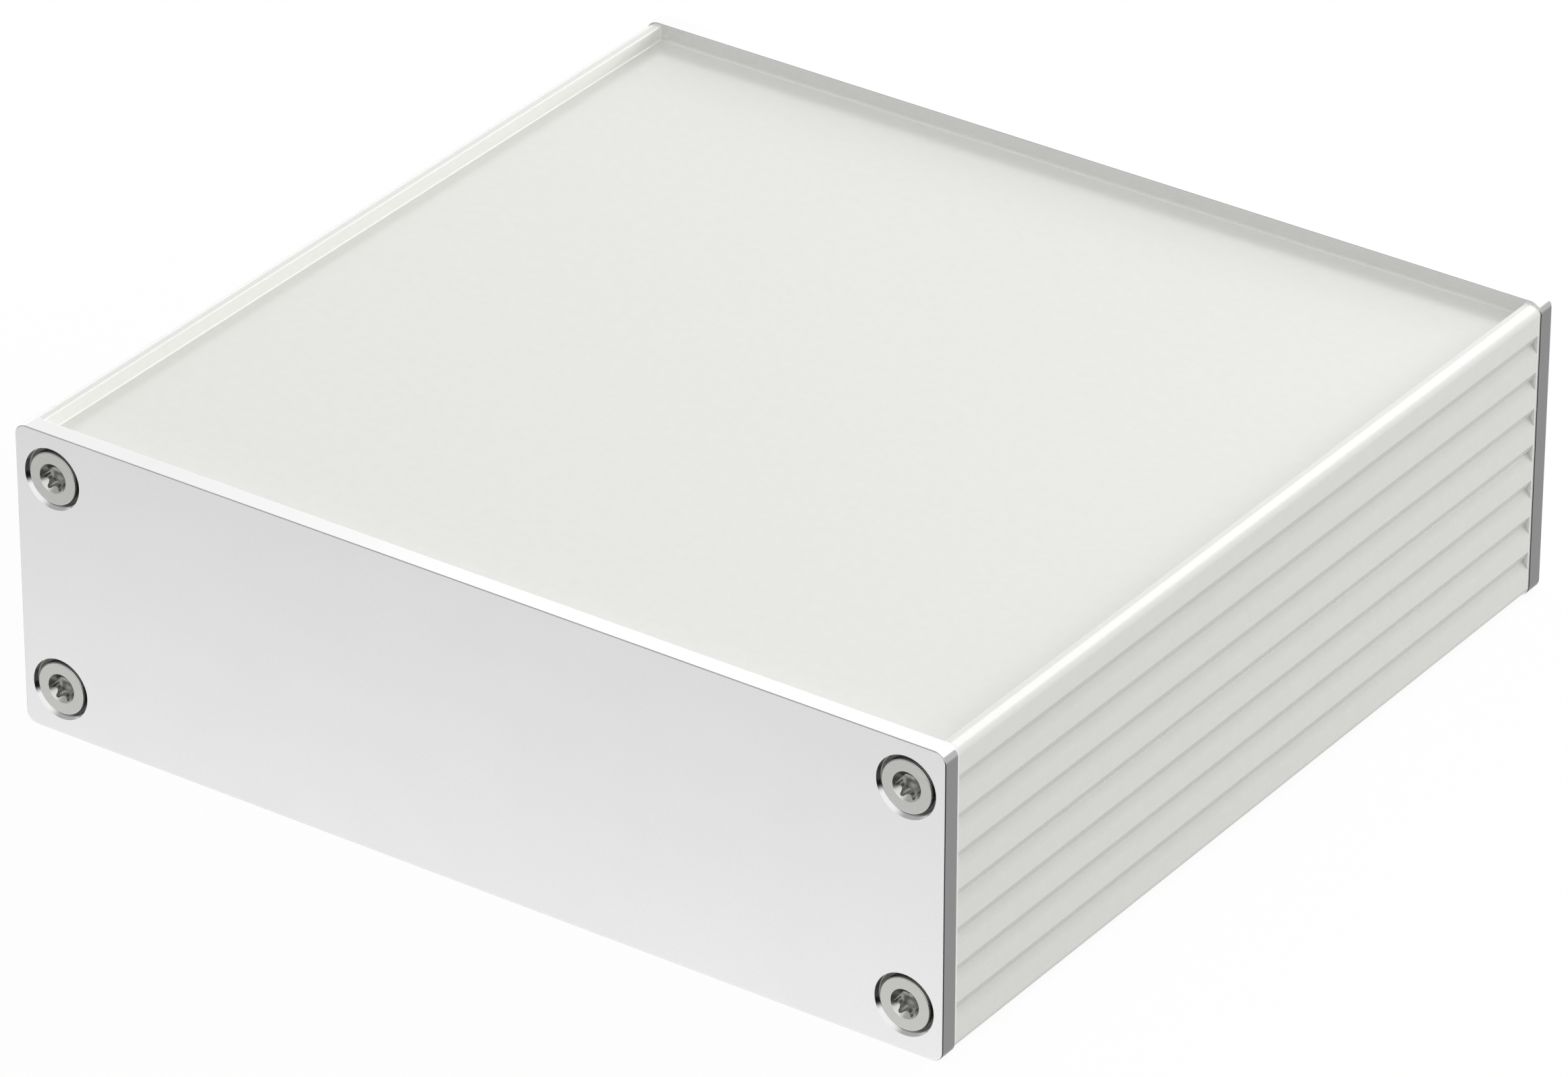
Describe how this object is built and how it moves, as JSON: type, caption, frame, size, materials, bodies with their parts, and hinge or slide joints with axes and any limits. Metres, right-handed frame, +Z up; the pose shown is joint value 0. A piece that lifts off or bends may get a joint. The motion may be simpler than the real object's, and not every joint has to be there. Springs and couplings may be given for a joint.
{
  "type": "extruded aluminium enclosure",
  "caption": "Flat ribbed aluminium extrusion case split at mid height, with sunk top and bottom fields and end plates held by countersunk screws.",
  "frame": {"origin": "middle of the footprint, on the surface the case stands on", "axes": "+X across the width of the end plates, +Y along the extrusion from front to rear plate, +Z up"},
  "size_m": [0.106, 0.1046, 0.0327],
  "materials": {
    "shell_coat": "light grey powder coat",
    "plate_metal": "satin clear anodised",
    "gasket": "pale matt silicone",
    "screw_steel": "plain stainless"
  },
  "bodies": {
    "root": {"upper_half_shell": "shell_coat", "lower_half_shell": "shell_coat", "front_end_plate": "plate_metal", "rear_end_plate": "plate_metal", "front_gasket": "gasket", "rear_gasket": "gasket", "front_plate_screws": "screw_steel", "rear_plate_screws": "screw_steel"}
  },
  "joints": []
}
